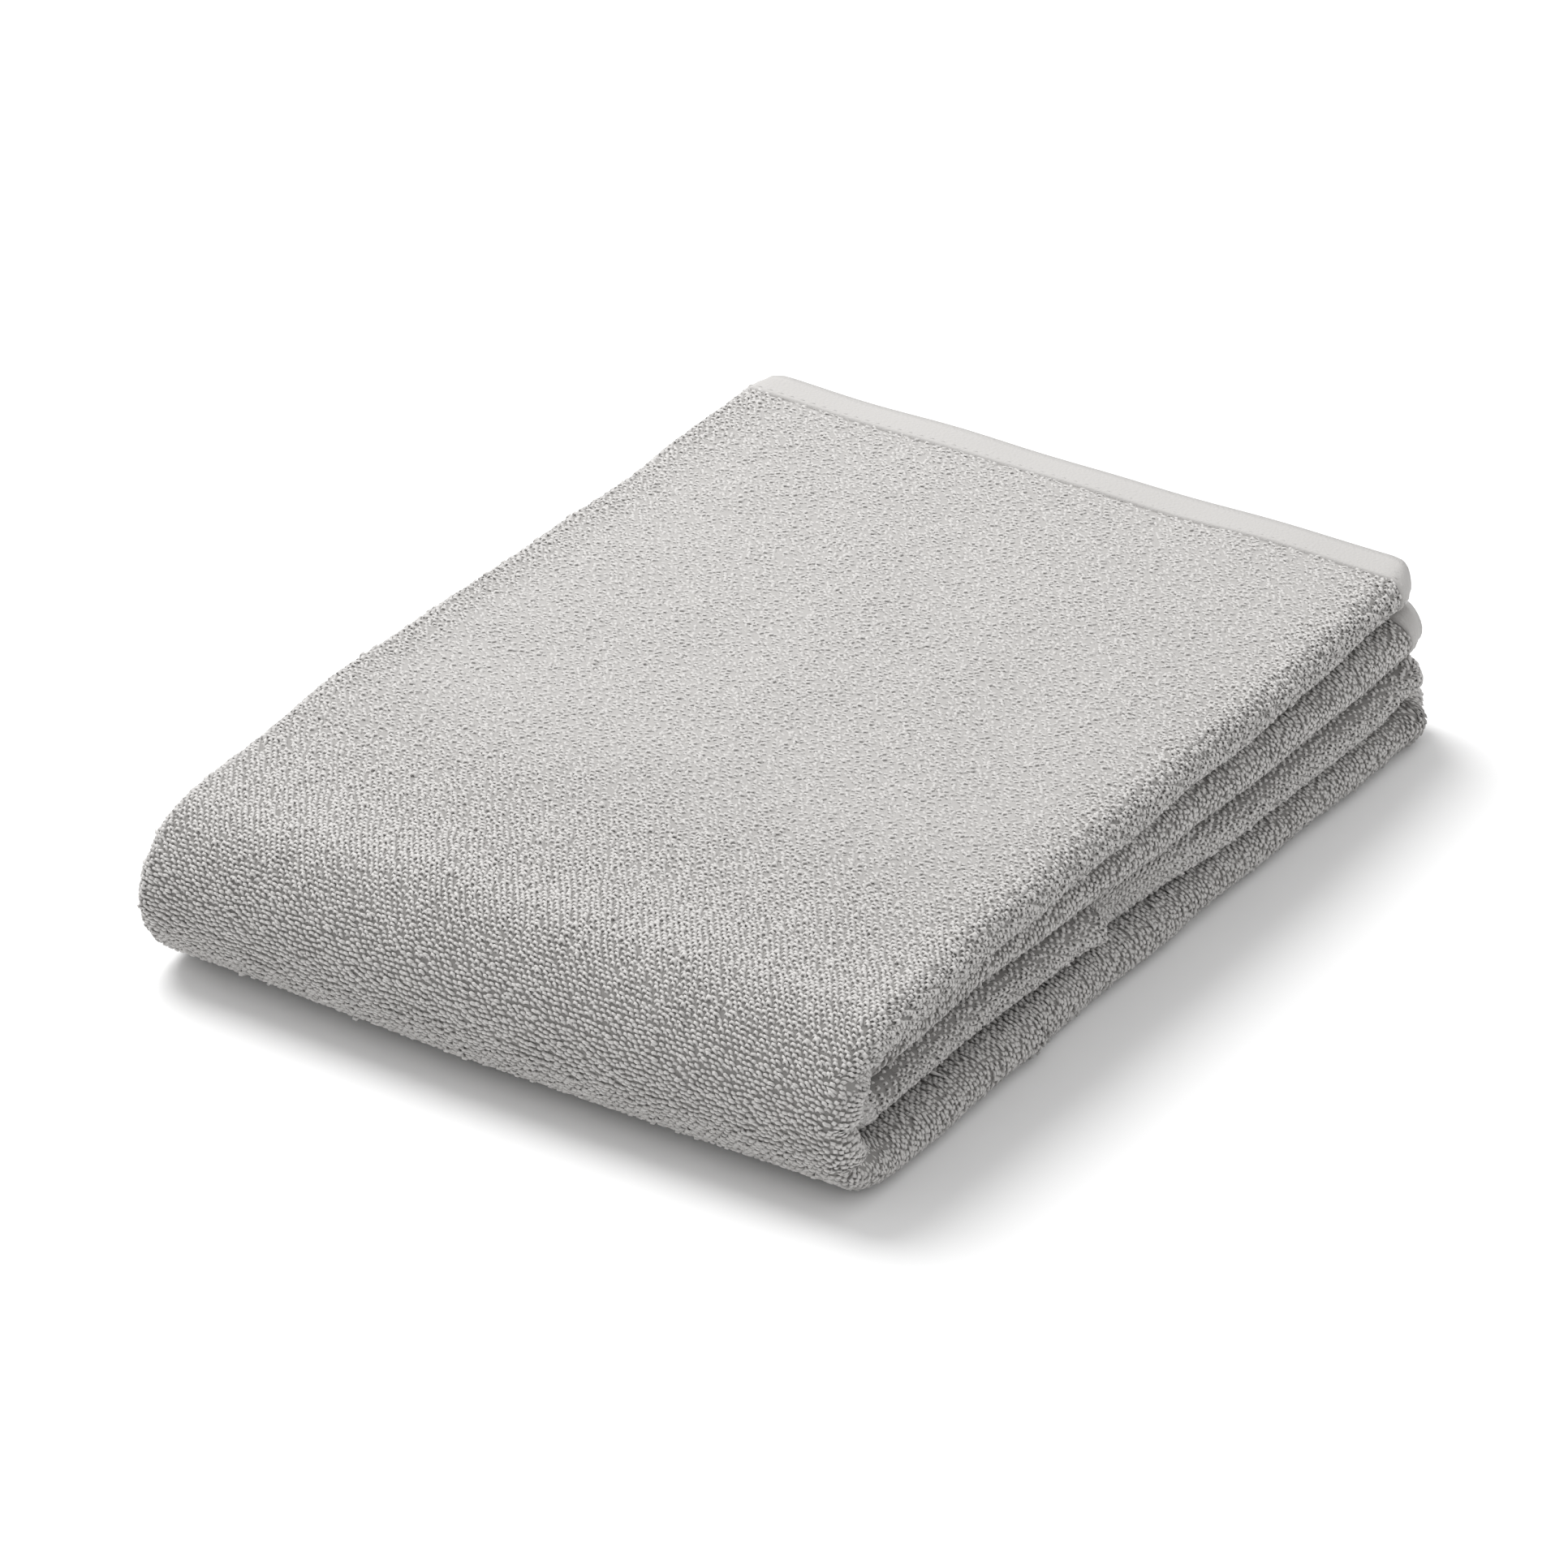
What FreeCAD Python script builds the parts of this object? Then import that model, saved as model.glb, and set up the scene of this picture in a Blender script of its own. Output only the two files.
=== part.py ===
import FreeCAD, Part
import math
import os

# A bath towel, folded in thirds across its width and then in quarters along its length.
# The packet lies flat: X runs along its near edge, Y away from it, Z up.
# The origin is the centre of the underside. All sizes are in millimetres.

# The towel as it was woven and hemmed.
TOWEL_LENGTH = 1400.0
TOWEL_WIDTH = 700.0
PLY_THICKNESS = 4.7  # one thickness of terry, with the loops of both faces pressed in the stack
HEM_THICKNESS = 3.0  # the flat-woven edge, turned over twice
END_HEM_WIDTH = 14.0
SIDE_HEM_WIDTH = 9.0

# The sewing thread that holds the hems.
STITCH_LENGTH = 3.0
STITCH_PITCH = 4.2
THREAD_WIDTH = 0.7
THREAD_HEIGHT = 0.35
SEAM_INSET = 2.5  # from the hem's inner edge to the middle of its seam

# How it was folded.
PLY_GAP = 0.3  # the clearance that keeps neighbouring plies apart
SIDE_ALLOWANCE = 21.7  # how much wider the packet is than a third of the towel
TOP_SETBACK = 4.0  # how far the top end hem stops short of the far fold
SECOND_SETBACK = 3.0  # the same for the end hem below it
BODY_GAP = 0.3  # between a layer that opens and the fold that it turns on
LEAF_SLIP = 4.0  # how far the top layer slides past the second one when both are turned over

# The stack: four layers of three plies. Layers are counted from the bottom.
BOTTOM, THIRD, SECOND, TOP = range(4)
LAYERS = 4
MIDDLE_PANEL, LEFT_FLAP, RIGHT_FLAP = range(3)
PLIES = 3
PITCH = PLY_THICKNESS + PLY_GAP
LAYER_PITCH = PLIES * PITCH
STACK_HEIGHT = LAYERS * LAYER_PITCH - PLY_GAP

# Across the width, each layer is a letter fold: the left flap is folded over the middle panel first,
# and the right flap over the left one.
PACKET_WIDTH = TOWEL_WIDTH / 3 + SIDE_ALLOWANCE
LEFT_BEND = PITCH / 2  # radius of the ply's mid-line at each side fold
RIGHT_BEND = PITCH
LEFT_CENTRE = -PACKET_WIDTH / 2 + LEFT_BEND + PLY_THICKNESS / 2
RIGHT_CENTRE = PACKET_WIDTH / 2 - RIGHT_BEND - PLY_THICKNESS / 2
PANEL_WIDTH = RIGHT_CENTRE - LEFT_CENTRE
FLAP_WIDTH = (TOWEL_WIDTH - PANEL_WIDTH - math.pi * (LEFT_BEND + RIGHT_BEND)) / 2
LEFT_FLAP_EDGE = LEFT_CENTRE + FLAP_WIDTH
RIGHT_FLAP_EDGE = RIGHT_CENTRE - FLAP_WIDTH

# Along the length, the three crosswise folds take up part of the towel. The packet is as deep as the
# rest allows, measured on the middle panel's mid-plane.
OUTER_RADIUS = STACK_HEIGHT / 2  # outside of the outer front fold
PAIR_RADIUS = LAYER_PITCH - PLY_GAP / 2  # outside of a fold between two neighbouring layers
OUTER_BEND = OUTER_RADIUS - PLY_THICKNESS / 2
FAR_BEND = PAIR_RADIUS - PLY_THICKNESS / 2
INNER_BEND = PITCH / 2
FOLDED_LENGTH = math.pi * (OUTER_BEND + FAR_BEND + INNER_BEND)
SET_IN = LAYERS * OUTER_RADIUS + 2 * PAIR_RADIUS + TOP_SETBACK + SECOND_SETBACK
PACKET_DEPTH = (TOWEL_LENGTH - FOLDED_LENGTH + SET_IN) / LAYERS

FRONT_LINE = -PACKET_DEPTH / 2 + OUTER_RADIUS  # where both front folds begin
FAR_LINE = PACKET_DEPTH / 2 - PAIR_RADIUS  # where the far fold begins
TOP_END = PACKET_DEPTH / 2 - TOP_SETBACK
SECOND_END = PACKET_DEPTH / 2 - SECOND_SETBACK
MID_HEIGHT = STACK_HEIGHT / 2
LOWER_MID_HEIGHT = PAIR_RADIUS

# The two upper layers open like leaves of a book. Each turns about a line along X at mid-height, just
# in front of its own near end. The lines lie half of LEAF_SLIP apart, so the leaves slide on each other.
SECOND_HINGE_Y = FRONT_LINE - PAIR_RADIUS / 2
TOP_HINGE_Y = SECOND_HINGE_Y - LEAF_SLIP / 2


def flap_side(layer):
    """1 where the layer's flaps lie above its middle panel, -1 where they lie below it."""
    return 1 if layer in (BOTTOM, SECOND) else -1


def height(layer, lift):
    """The height of a place that is lift away from the mid-plane of the layer's middle panel."""
    lowest = layer * LAYER_PITCH + PLY_THICKNESS / 2
    if flap_side(layer) > 0:
        return lowest + lift
    return lowest + (PLIES - 1) * PITCH - lift


def place(layer, x, lift):
    return FreeCAD.Vector(x, 0, height(layer, lift))


def face_through(start, steps):
    """A flat face whose outline runs from start along (end,) lines and (through, end) arcs."""
    edges = []
    here = start
    for step in steps:
        if len(step) == 1:
            edges.append(Part.LineSegment(here, step[0]).toShape())
        else:
            edges.append(Part.Arc(here, step[0], step[1]).toShape())
        here = step[-1]
    return Part.Face(Part.Wire(edges))


def letter_fold(layer, thickness, left_edge, right_edge):
    """The layer's section across the width: one strip that goes left flap, panel, right flap."""
    half = thickness / 2

    def at(x, lift):
        return place(layer, x, lift)

    left_out = LEFT_BEND + half
    left_in = LEFT_BEND - half
    right_out = RIGHT_BEND + half
    right_in = RIGHT_BEND - half
    return face_through(
        at(left_edge, PITCH + half),
        [
            (at(LEFT_CENTRE, PITCH + half),),
            (at(LEFT_CENTRE - left_out, LEFT_BEND), at(LEFT_CENTRE, -half)),
            (at(RIGHT_CENTRE, -half),),
            (at(RIGHT_CENTRE + right_out, RIGHT_BEND), at(RIGHT_CENTRE, 2 * PITCH + half)),
            (at(right_edge, 2 * PITCH + half),),
            (at(right_edge, 2 * PITCH - half),),
            (at(RIGHT_CENTRE, 2 * PITCH - half),),
            (at(RIGHT_CENTRE + right_in, RIGHT_BEND), at(RIGHT_CENTRE, half)),
            (at(LEFT_CENTRE, half),),
            (at(LEFT_CENTRE - left_in, LEFT_BEND), at(LEFT_CENTRE, PITCH - half)),
            (at(left_edge, PITCH - half),),
            (at(left_edge, PITCH + half),),
        ],
    )


def terry_section(layer):
    """The looped cloth, which stops where the side hems begin."""
    return letter_fold(
        layer, PLY_THICKNESS, LEFT_FLAP_EDGE - SIDE_HEM_WIDTH, RIGHT_FLAP_EDGE + SIDE_HEM_WIDTH
    )


def strip_section(layer, x_from, x_to, lift_from, lift_to):
    """A rectangle in the layer's section, for a hem or a thread."""
    return face_through(
        place(layer, x_from, lift_from),
        [
            (place(layer, x_to, lift_from),),
            (place(layer, x_to, lift_to),),
            (place(layer, x_from, lift_to),),
            (place(layer, x_from, lift_from),),
        ],
    )


def left_hem_section(layer):
    middle = LEFT_FLAP * PITCH
    half = HEM_THICKNESS / 2
    inner_edge = LEFT_FLAP_EDGE - SIDE_HEM_WIDTH
    return strip_section(layer, inner_edge, LEFT_FLAP_EDGE, middle - half, middle + half)


def right_hem_section(layer):
    middle = RIGHT_FLAP * PITCH
    half = HEM_THICKNESS / 2
    inner_edge = RIGHT_FLAP_EDGE + SIDE_HEM_WIDTH
    return strip_section(layer, RIGHT_FLAP_EDGE, inner_edge, middle - half, middle + half)


def left_seam_section(layer):
    surface = LEFT_FLAP * PITCH + HEM_THICKNESS / 2
    middle = LEFT_FLAP_EDGE - SIDE_HEM_WIDTH + SEAM_INSET
    return seam_section(layer, middle, surface)


def right_seam_section(layer):
    surface = RIGHT_FLAP * PITCH + HEM_THICKNESS / 2
    middle = RIGHT_FLAP_EDGE + SIDE_HEM_WIDTH - SEAM_INSET
    return seam_section(layer, middle, surface)


def seam_section(layer, middle, surface):
    """A line of thread that lies on a side hem's outward face."""
    half = THREAD_WIDTH / 2
    return strip_section(layer, middle - half, middle + half, surface, surface + THREAD_HEIGHT)


def run(face, y_from, y_to):
    """A section carried straight from one Y to another."""
    start = face.copy()
    start.translate(FreeCAD.Vector(0, y_from, 0))
    return start.extrude(FreeCAD.Vector(0, y_to - y_from, 0))


def turn(face, y, z, towards):
    """A section carried half a turn round a crosswise fold that bulges towards +Y or -Y."""
    start = face.copy()
    start.translate(FreeCAD.Vector(0, y, 0))
    return start.revolve(FreeCAD.Vector(0, y, z), FreeCAD.Vector(towards, 0, 0), 180)


def far_turn(section):
    return turn(section(BOTTOM), FAR_LINE, LOWER_MID_HEIGHT, 1)


def outer_turn(section):
    return turn(section(BOTTOM), FRONT_LINE, MID_HEIGHT, -1)


def inner_turn(section):
    return turn(section(THIRD), FRONT_LINE, MID_HEIGHT, -1)


def lower_run(section, layer):
    """A stretch that stays put, from the front folds to the far fold."""
    return run(section(layer), FRONT_LINE, FAR_LINE)


def top_run(section):
    return run(section(TOP), FRONT_LINE + BODY_GAP, TOP_END - END_HEM_WIDTH)


def second_run(section):
    return run(section(SECOND), FRONT_LINE + BODY_GAP, SECOND_END - END_HEM_WIDTH)


def lower_strip(section):
    """A side hem or seam along the bottom layer, round the far fold and back along the third."""
    bottom = lower_run(section, BOTTOM)
    third = lower_run(section, THIRD)
    return bottom.fuse([far_turn(section), third]).removeSplitter()


def end_hem(layer, end):
    """The flat-woven hem across the towel's end, folded in thirds with the rest."""
    section = letter_fold(layer, HEM_THICKNESS, LEFT_FLAP_EDGE, RIGHT_FLAP_EDGE)
    return run(section, end - END_HEM_WIDTH, end)


def stitch_row(layer, x_from, x_to, surface, y):
    """Single stitches along X. They lie on the face at this lift, on the side away from the panel's inside."""
    outward = -THREAD_HEIGHT if surface < 0 else THREAD_HEIGHT
    count = int((x_to - x_from - STITCH_LENGTH) / STITCH_PITCH) + 1
    spare = x_to - x_from - STITCH_LENGTH - (count - 1) * STITCH_PITCH
    stitches = []
    for number in range(count):
        x = x_from + spare / 2 + number * STITCH_PITCH
        section = strip_section(layer, x, x + STITCH_LENGTH, surface, surface + outward)
        stitches.append(run(section, y - THREAD_WIDTH / 2, y + THREAD_WIDTH / 2))
    return stitches


def end_stitching(layer, end):
    """The seam along an end hem, on the outward face of each of its three plies."""
    y = end - END_HEM_WIDTH + SEAM_INSET
    half = HEM_THICKNESS / 2
    rows = [
        (LEFT_CENTRE, RIGHT_CENTRE, -half),
        (LEFT_CENTRE, LEFT_FLAP_EDGE, LEFT_FLAP * PITCH + half),
        (RIGHT_FLAP_EDGE, RIGHT_CENTRE, RIGHT_FLAP * PITCH + half),
    ]
    stitches = []
    for x_from, x_to, surface in rows:
        stitches += stitch_row(layer, x_from, x_to, surface, y)
    return Part.makeCompound(stitches)


def terry_pieces():
    return {
        "bottom_layer": lower_run(terry_section, BOTTOM),
        "third_layer": lower_run(terry_section, THIRD),
        "second_layer": second_run(terry_section),
        "top_layer": top_run(terry_section),
        "far_fold": far_turn(terry_section),
        "outer_front_fold": outer_turn(terry_section),
        "inner_front_fold": inner_turn(terry_section),
    }


def end_pieces():
    return {
        "top_end_hem": end_hem(TOP, TOP_END),
        "second_end_hem": end_hem(SECOND, SECOND_END),
        "top_end_stitching": end_stitching(TOP, TOP_END),
        "second_end_stitching": end_stitching(SECOND, SECOND_END),
    }


def side_pieces():
    """Both side hems and their seams, cut where the towel's parts move apart."""
    sections = {
        "left_side_hem": left_hem_section,
        "right_side_hem": right_hem_section,
        "left_side_seam": left_seam_section,
        "right_side_seam": right_seam_section,
    }
    pieces = {}
    for name, section in sections.items():
        pieces["lower_" + name] = lower_strip(section)
        pieces["outer_fold_" + name] = outer_turn(section)
        pieces["inner_fold_" + name] = inner_turn(section)
        pieces["second_" + name] = second_run(section)
        pieces["top_" + name] = top_run(section)
    return pieces


def main():
    os.makedirs("parts", exist_ok=True)
    pieces = {**terry_pieces(), **end_pieces(), **side_pieces()}
    for name, shape in pieces.items():
        print(name, len(shape.Solids), "solids, valid:", shape.isValid(), "volume:", round(shape.Volume))
        shape.exportStep("parts/" + name + ".step")
    print("packet", round(PACKET_WIDTH, 1), "x", round(PACKET_DEPTH, 1), "x", round(STACK_HEIGHT, 1))
    print("hinges at Y", round(TOP_HINGE_Y, 3), "and", round(SECOND_HINGE_Y, 3), "Z", round(MID_HEIGHT, 3))


main()
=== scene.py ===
# %% [markdown]
# # A folded bath towel
# The real object is one sheet of cotton terry, folded in thirds across its width and in quarters along
# its length. It could be modelled as a soft box with a bump map, but a towel is judged by its loops and
# by the way its layers roll at the edges. So this file makes it as the real one is made: the cloth and
# its loops are laid out flat, and one folding rule then folds everything together.

import math

import bmesh
import bpy
import numpy as np
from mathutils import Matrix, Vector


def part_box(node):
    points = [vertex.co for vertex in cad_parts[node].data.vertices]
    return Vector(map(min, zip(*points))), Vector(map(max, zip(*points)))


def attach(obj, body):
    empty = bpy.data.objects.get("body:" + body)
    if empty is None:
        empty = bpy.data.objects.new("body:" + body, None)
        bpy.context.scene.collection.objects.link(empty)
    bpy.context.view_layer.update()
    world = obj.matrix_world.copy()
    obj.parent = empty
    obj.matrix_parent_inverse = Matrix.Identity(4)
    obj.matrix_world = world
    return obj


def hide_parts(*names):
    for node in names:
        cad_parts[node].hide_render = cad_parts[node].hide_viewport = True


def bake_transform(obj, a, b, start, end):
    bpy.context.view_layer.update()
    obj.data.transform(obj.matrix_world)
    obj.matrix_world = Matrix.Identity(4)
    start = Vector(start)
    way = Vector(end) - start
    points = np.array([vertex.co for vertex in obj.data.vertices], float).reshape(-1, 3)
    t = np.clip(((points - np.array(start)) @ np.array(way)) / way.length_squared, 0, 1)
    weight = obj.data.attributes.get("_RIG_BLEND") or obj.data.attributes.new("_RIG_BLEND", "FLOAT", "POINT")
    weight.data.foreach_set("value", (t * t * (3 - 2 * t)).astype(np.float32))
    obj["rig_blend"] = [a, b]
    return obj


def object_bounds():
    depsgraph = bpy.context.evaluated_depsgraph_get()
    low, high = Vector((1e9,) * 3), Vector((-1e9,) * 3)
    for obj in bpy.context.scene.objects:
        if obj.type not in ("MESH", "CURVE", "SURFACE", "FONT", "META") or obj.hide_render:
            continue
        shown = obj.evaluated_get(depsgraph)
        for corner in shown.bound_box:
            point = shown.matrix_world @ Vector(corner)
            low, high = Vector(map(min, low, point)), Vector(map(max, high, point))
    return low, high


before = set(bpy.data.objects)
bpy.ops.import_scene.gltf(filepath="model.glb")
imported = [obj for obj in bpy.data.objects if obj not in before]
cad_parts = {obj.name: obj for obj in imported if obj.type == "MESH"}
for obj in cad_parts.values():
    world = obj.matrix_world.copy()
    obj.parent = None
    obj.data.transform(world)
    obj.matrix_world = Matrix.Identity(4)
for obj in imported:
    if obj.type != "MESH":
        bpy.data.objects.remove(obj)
cad_low, cad_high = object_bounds()
MM = 0.001
print("CAD box in mm:", [round(v / MM, 1) for v in (*cad_low, *cad_high)])

# %% [markdown]
# ## The packet's own sizes
# A folded towel is a stack of plies. Apart from the two counts, everything here is read from the CAD
# frame's boxes: how high a layer is, where the cloth turns in front and at the far side, and where the hems
# end.

# %% Sizes from the frame
PLIES = 3
LAYERS = 4
layer_low, layer_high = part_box("bottom_layer")
LAYER_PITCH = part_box("third_layer")[0].z - layer_low.z
PITCH = LAYER_PITCH / PLIES
PLY = PITCH - (LAYER_PITCH - (layer_high.z - layer_low.z))
FRONT = layer_low.y
FAR = layer_high.y
MID_HEIGHT = cad_high.z / 2
LOWER_MID = (LAYER_PITCH + layer_high.z) / 2
TOP_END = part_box("top_end_hem")[1].y
SECOND_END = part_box("second_end_hem")[1].y
END_HEM = TOP_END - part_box("top_end_hem")[0].y
LEFT_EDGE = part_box("lower_left_side_hem")[1].x
RIGHT_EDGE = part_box("lower_right_side_hem")[0].x
SIDE_HEM = LEFT_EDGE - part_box("lower_left_side_hem")[0].x
print("ply", round(PLY / MM, 2), "mm, ply pitch", round(PITCH / MM, 2), "mm")

# %% [markdown]
# ## How tightly each fold turns
# A fold turns about the middle of what lies inside it. The left side of the letter fold and the short front
# fold close on nothing but their own pile. The right side closes over one ply, the far fold over the flaps
# of two layers, and the outer front fold over two whole layers.

# %% Bend radii of the folds
LEFT_BEND = PITCH / 2
RIGHT_BEND = PITCH
OUTER_BEND = MID_HEIGHT - PLY / 2
FAR_BEND = LOWER_MID - PLY / 2
INNER_BEND = PITCH / 2
LEFT_CENTRE = layer_low.x + LEFT_BEND + PLY / 2
RIGHT_CENTRE = layer_high.x - RIGHT_BEND - PLY / 2
radii = {"left": LEFT_BEND, "right": RIGHT_BEND, "outer": OUTER_BEND, "far": FAR_BEND, "inner": INNER_BEND}
print("bend radii in mm:", {name: round(radius / MM, 1) for name, radius in radii.items()})

# %% [markdown]
# ## The camera
# A long lens from the near right, a little under a third of a right angle above the table, so that the
# top, the rolled front and the four ridges of the right side all show.

# %% Camera
VIEW_AZIMUTH = math.radians(32.7)
VIEW_ELEVATION = math.radians(29.15)
VIEW_DISTANCE = 2.171
LENS = 160.65
AIM_RIGHT = -0.0061
AIM_UP = -0.0065
FARTHEST_SHOWN = 20.0

camera_data = bpy.data.cameras.new("camera")
camera = bpy.data.objects.new("camera", camera_data)
bpy.context.scene.collection.objects.link(camera)
camera_data.lens = LENS
camera_data.clip_end = FARTHEST_SHOWN
camera.rotation_euler = (math.pi / 2 - VIEW_ELEVATION, 0, VIEW_AZIMUTH)
bpy.context.view_layer.update()
turned = camera.matrix_world.to_3x3()
aim = (cad_low + cad_high) / 2
camera.location = aim + turned @ Vector((AIM_RIGHT, AIM_UP, VIEW_DISTANCE))
bpy.context.scene.camera = camera
print("camera in m:", [round(v, 3) for v in camera.location])

# %% [markdown]
# ## The folding rule
# Paper patterns have fold lines, and this is the same idea in a formula. A place on the flat towel has
# three numbers: how far across from the left edge, how far along from the top end, and how high it stands
# off the cloth. `across` rolls the width into a letter fold, `along` rolls the length into quarters, and
# `fold` puts the two together. Loops, hems and cloth all go through it, so they can't come apart. A cloth
# simulation could fold a towel too, but a formula puts every ridge where it belongs, the same each time.

# %% Stretches of the width and the length
WIDTH_STRETCHES = [
    LEFT_EDGE - LEFT_CENTRE,
    math.pi * LEFT_BEND,
    RIGHT_CENTRE - LEFT_CENTRE,
    math.pi * RIGHT_BEND,
    RIGHT_CENTRE - RIGHT_EDGE,
]
LENGTH_STRETCHES = [
    TOP_END - FRONT,
    math.pi * OUTER_BEND,
    FAR - FRONT,
    math.pi * FAR_BEND,
    FAR - FRONT,
    math.pi * INNER_BEND,
    SECOND_END - FRONT,
]
WIDTH_MARKS = np.concatenate([[0], np.cumsum(WIDTH_STRETCHES)])
LENGTH_MARKS = np.concatenate([[0], np.cumsum(LENGTH_STRETCHES)])
TOWEL_WIDTH = WIDTH_MARKS[-1]
TOWEL_LENGTH = LENGTH_MARKS[-1]
print("flat towel", round(TOWEL_WIDTH / MM), "x", round(TOWEL_LENGTH / MM), "mm")


# %% [markdown]
# ### Across: the letter fold
# The width is five stretches: flap, bend, middle panel, bend, flap. The bends are half circles, so each
# stretch has its own short formula, and np.select takes the right one for every place at once.

# %% The letter fold across the width
def across(width_place):
    """x, lift above the middle panel, and the outward face's direction in x and in lift."""
    s = width_place
    marks = WIDTH_MARKS
    which = np.clip(np.searchsorted(marks, s, side="right") - 1, 0, PLIES + 1)
    run = s - marks[which]
    left_turn = run / LEFT_BEND
    right_turn = run / RIGHT_BEND
    cases = [which == number for number in range(PLIES + 2)]
    ones = np.ones_like(s)
    x = np.select(
        cases,
        [
            LEFT_EDGE - run,
            LEFT_CENTRE - LEFT_BEND * np.sin(left_turn),
            LEFT_CENTRE + run,
            RIGHT_CENTRE + RIGHT_BEND * np.sin(right_turn),
            RIGHT_CENTRE - run,
        ],
    )
    lift = np.select(
        cases,
        [
            PITCH * ones,
            LEFT_BEND + LEFT_BEND * np.cos(left_turn),
            0 * ones,
            RIGHT_BEND - RIGHT_BEND * np.cos(right_turn),
            2 * PITCH * ones,
        ],
    )
    face_x = np.select(cases, [0 * ones, -np.sin(left_turn), 0 * ones, np.sin(right_turn), 0 * ones])
    face_lift = np.select(cases, [ones, np.cos(left_turn), -ones, -np.cos(right_turn), ones])
    return x, lift, face_x, face_lift


# %% [markdown]
# ### Along: the quarter fold
# The length is four layers with three folds between them. The layers alternate in direction, so the flaps
# of the letter fold lie below the panel in one layer and above it in the next.

# %% The quarter fold along the length
def along(length_place):
    """y and z of the middle panel, and the direction in which its flaps lie."""
    t = length_place
    which = np.clip(np.searchsorted(LENGTH_MARKS, t, side="right") - 1, 0, len(LENGTH_STRETCHES) - 1)
    run = t - LENGTH_MARKS[which]
    outer, far, inner = run / OUTER_BEND, run / FAR_BEND, run / INNER_BEND
    cases = [which == number for number in range(len(LENGTH_STRETCHES))]
    ones = np.ones_like(t)
    y = np.select(
        cases,
        [
            TOP_END - run,
            FRONT - OUTER_BEND * np.sin(outer),
            FRONT + run,
            FAR + FAR_BEND * np.sin(far),
            FAR - run,
            FRONT - INNER_BEND * np.sin(inner),
            FRONT + run,
        ],
    )
    z = np.select(
        cases,
        [
            (MID_HEIGHT + OUTER_BEND) * ones,
            MID_HEIGHT + OUTER_BEND * np.cos(outer),
            (MID_HEIGHT - OUTER_BEND) * ones,
            LOWER_MID - FAR_BEND * np.cos(far),
            (LOWER_MID + FAR_BEND) * ones,
            MID_HEIGHT - INNER_BEND * np.cos(inner),
            (MID_HEIGHT + INNER_BEND) * ones,
        ],
    )
    flap_y = np.select(
        cases, [0 * ones, np.sin(outer), 0 * ones, -np.sin(far), 0 * ones, -np.sin(inner), 0 * ones]
    )
    flap_z = np.select(
        cases, [-ones, -np.cos(outer), ones, np.cos(far), -ones, -np.cos(inner), ones]
    )
    return y, z, flap_y, flap_z


# %% [markdown]
# ## How a soft stack settles
# Folded terry isn't a block. The stack is lower where only two plies lie under the left edge, the front
# roll sags, the top is pillowy, and each ridge bulges its own way. These are gentle moves of the whole
# stack, so layers stay in order and nothing passes through its neighbour. Three small formulas shape them
# all: a wave, a smooth ramp and a hump.

# %% Wave, ramp and hump
SIDE = layer_high.x
TOP = cad_high.z


def wave(place, length, phase):
    """A sine wave of this length; the phase only shifts it."""
    return np.sin(2 * math.pi * place / length + phase)


def ramp(place, start, end):
    """0 before start, 1 after end, and a smooth change between."""
    share = np.clip((place - start) / (end - start), 0, 1)
    return share * share * (3 - 2 * share)


def hump(place, middle, half, power=2):
    """1 in the middle, fading out around half; a higher power has a flatter top."""
    return np.exp(-(np.abs((place - middle) / half) ** power))


# %% [markdown]
# ### Slipped layers
# Layers never stay quite in line. Near the front, the two that are wrapped inside have slid to the left,
# and towards the far end the three lower ones have slid a little to the right.

# %% Slipped layers
CORE_SLIP = 8.0 * MM
CORE_SLIP_FULL = FRONT + 20 * MM
CORE_SLIP_END = 60 * MM
FAR_SLIP = 3.0 * MM
FAR_SLIP_START = 20 * MM
BETWEEN_LAYERS = (-0.5 * MM, 0.2 * MM)


def between_layers(place, boundary):
    """0 in the layer before the boundary, 1 in the next, with the change in the gap between them."""
    return ramp(place, boundary + BETWEEN_LAYERS[0], boundary + BETWEEN_LAYERS[1])


def slip(x, y, z):
    """How far each layer has slid to the right: the wrapped ones in front go the other way."""
    from_axis = np.hypot(np.minimum(y - FRONT, 0), z - MID_HEIGHT)
    wrapped = 1 - between_layers(from_axis, LAYER_PITCH)
    near = 1 - ramp(y, CORE_SLIP_FULL, CORE_SLIP_END)
    lower = 1 - between_layers(z, (LAYERS - 1) * LAYER_PITCH)
    return ramp(y, FAR_SLIP_START, FAR) * lower * FAR_SLIP - near * wrapped * CORE_SLIP


# %% [markdown]
# ### Dents in the ridges
# The right side shows four rounded ridges with dark gaps between them. Two of the ridges step inward
# suddenly, where the cloth is nipped, with a small lip before the step, and come out again slowly. The far
# fold has a small hollow. All these moves are strongest at the surface.

# %% Dents in the ridges
THIRD_RIDGE = LAYER_PITCH * 1.5
BOTTOM_RIDGE = LAYER_PITCH * 0.5
DENTS = [(-26 * MM, THIRD_RIDGE, 8.5 * MM), (-67 * MM, BOTTOM_RIDGE, 1.8 * MM)]
DENT_WIDTH = 2.4 * MM
DENT_REACH = 80 * MM
DENT_LIP = 0.22
RIDGE_HALF = LAYER_PITCH / 2.4
RIDGE_SQUARENESS = 4
GAP_DEPTH = 2.6 * MM
GAP_HALF = 2.3 * MM
HOLLOW_PLACE = FAR - 3 * MM
HOLLOW_HEIGHT = LAYER_PITCH + 2 * MM
HOLLOW_DEPTH = 7.0 * MM
HOLLOW_LENGTH = 11 * MM
HOLLOW_HALF = 3.4 * MM
DENTED_DEPTH = 18 * MM


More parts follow.
